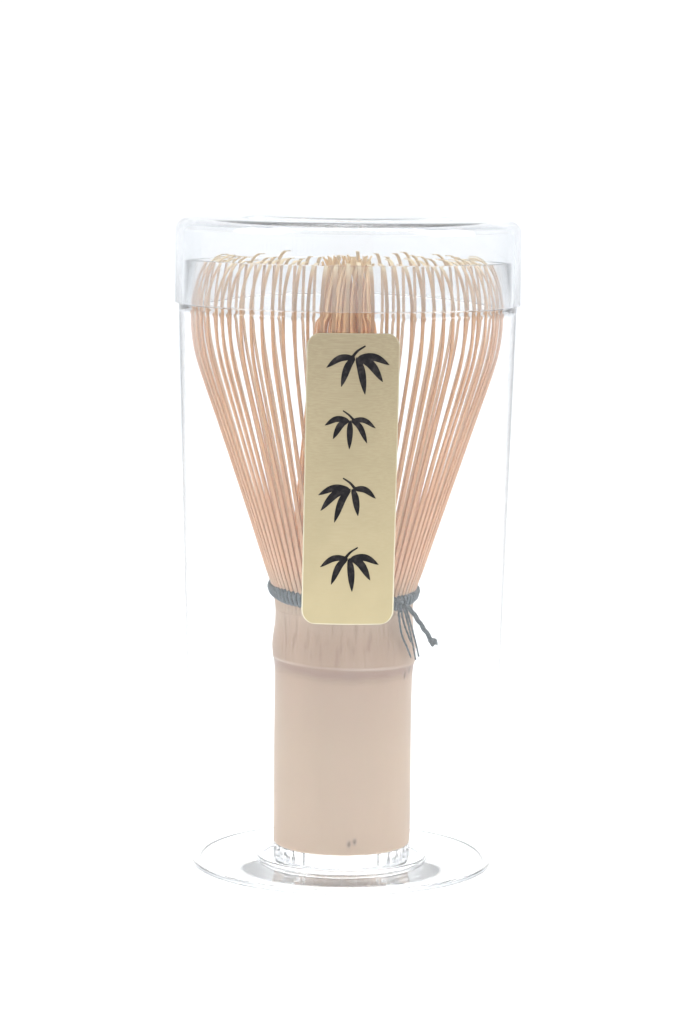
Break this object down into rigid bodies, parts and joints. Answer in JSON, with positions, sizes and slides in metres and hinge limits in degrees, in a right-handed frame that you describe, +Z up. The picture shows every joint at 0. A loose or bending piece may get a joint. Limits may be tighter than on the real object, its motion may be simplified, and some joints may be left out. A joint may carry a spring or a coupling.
{
  "type": "bamboo tea whisk",
  "caption": "Bamboo tea whisk with fine split tines around a gathered inner bundle, bound with dark thread, in a clear cup with a lift-off lid.",
  "frame": {"origin": "centre of the case's underside, on the surface it stands on", "axes": "+Z up along the whisk's axis, -Y towards the label, +X to the label's right"},
  "size_m": [0.062, 0.062, 0.1177],
  "materials": {
    "outer_tine_bamboo": "fresh split bamboo, matte with a slight silk sheen",
    "inner_tine_bamboo": "fresh split bamboo, darker in the middle",
    "culm_bamboo": "dried bamboo skin, satin",
    "binding_thread": "twisted cotton thread, matte",
    "clear_plastic": "clear moulded polystyrene, polished",
    "gold_foil": "gold foil label with a printed ink sprig, satin"
  },
  "bodies": {
    "case": {"case_cup": "clear_plastic", "label": "gold_foil"},
    "whisk": {"binding_thread_inner": "binding_thread", "binding_thread_outer": "binding_thread", "handle": "culm_bamboo", "inner_tines_01": "inner_tine_bamboo", "inner_tines_02": "inner_tine_bamboo", "inner_tines_03": "inner_tine_bamboo", "inner_tines_04": "inner_tine_bamboo", "inner_tines_05": "inner_tine_bamboo", "inner_tines_06": "inner_tine_bamboo", "inner_tines_07": "inner_tine_bamboo", "inner_tines_08": "inner_tine_bamboo", "inner_tines_09": "inner_tine_bamboo", "inner_tines_10": "inner_tine_bamboo", "inner_tines_11": "inner_tine_bamboo", "inner_tines_12": "inner_tine_bamboo", "inner_tines_13": "inner_tine_bamboo", "inner_tines_14": "inner_tine_bamboo", "inner_tines_15": "inner_tine_bamboo", "inner_tines_16": "inner_tine_bamboo", "outer_tines_01": "outer_tine_bamboo", "outer_tines_02": "outer_tine_bamboo", "outer_tines_03": "outer_tine_bamboo", "outer_tines_04": "outer_tine_bamboo", "outer_tines_05": "outer_tine_bamboo", "outer_tines_06": "outer_tine_bamboo", "outer_tines_07": "outer_tine_bamboo", "outer_tines_08": "outer_tine_bamboo", "outer_tines_09": "outer_tine_bamboo", "outer_tines_10": "outer_tine_bamboo", "outer_tines_11": "outer_tine_bamboo", "outer_tines_12": "outer_tine_bamboo", "outer_tines_13": "outer_tine_bamboo", "outer_tines_14": "outer_tine_bamboo", "outer_tines_15": "outer_tine_bamboo", "outer_tines_16": "outer_tine_bamboo", "thread_knot": "binding_thread", "thread_tail_1": "binding_thread", "thread_tail_2": "binding_thread", "thread_tail_3": "binding_thread", "thread_tail_4": "binding_thread", "thread_tail_twisted": "binding_thread"},
    "lid": {"case_lid": "clear_plastic"}
  },
  "joints": [
    {"name": "whisk_lift", "type": "slide", "parent": "case", "child": "whisk", "axis": [0, 0, 1], "range_m": [0, 0.115]},
    {"name": "lid_lift", "type": "slide", "parent": "whisk", "child": "lid", "axis": [0, 0, 1], "range_m": [0, 0.03]}
  ]
}
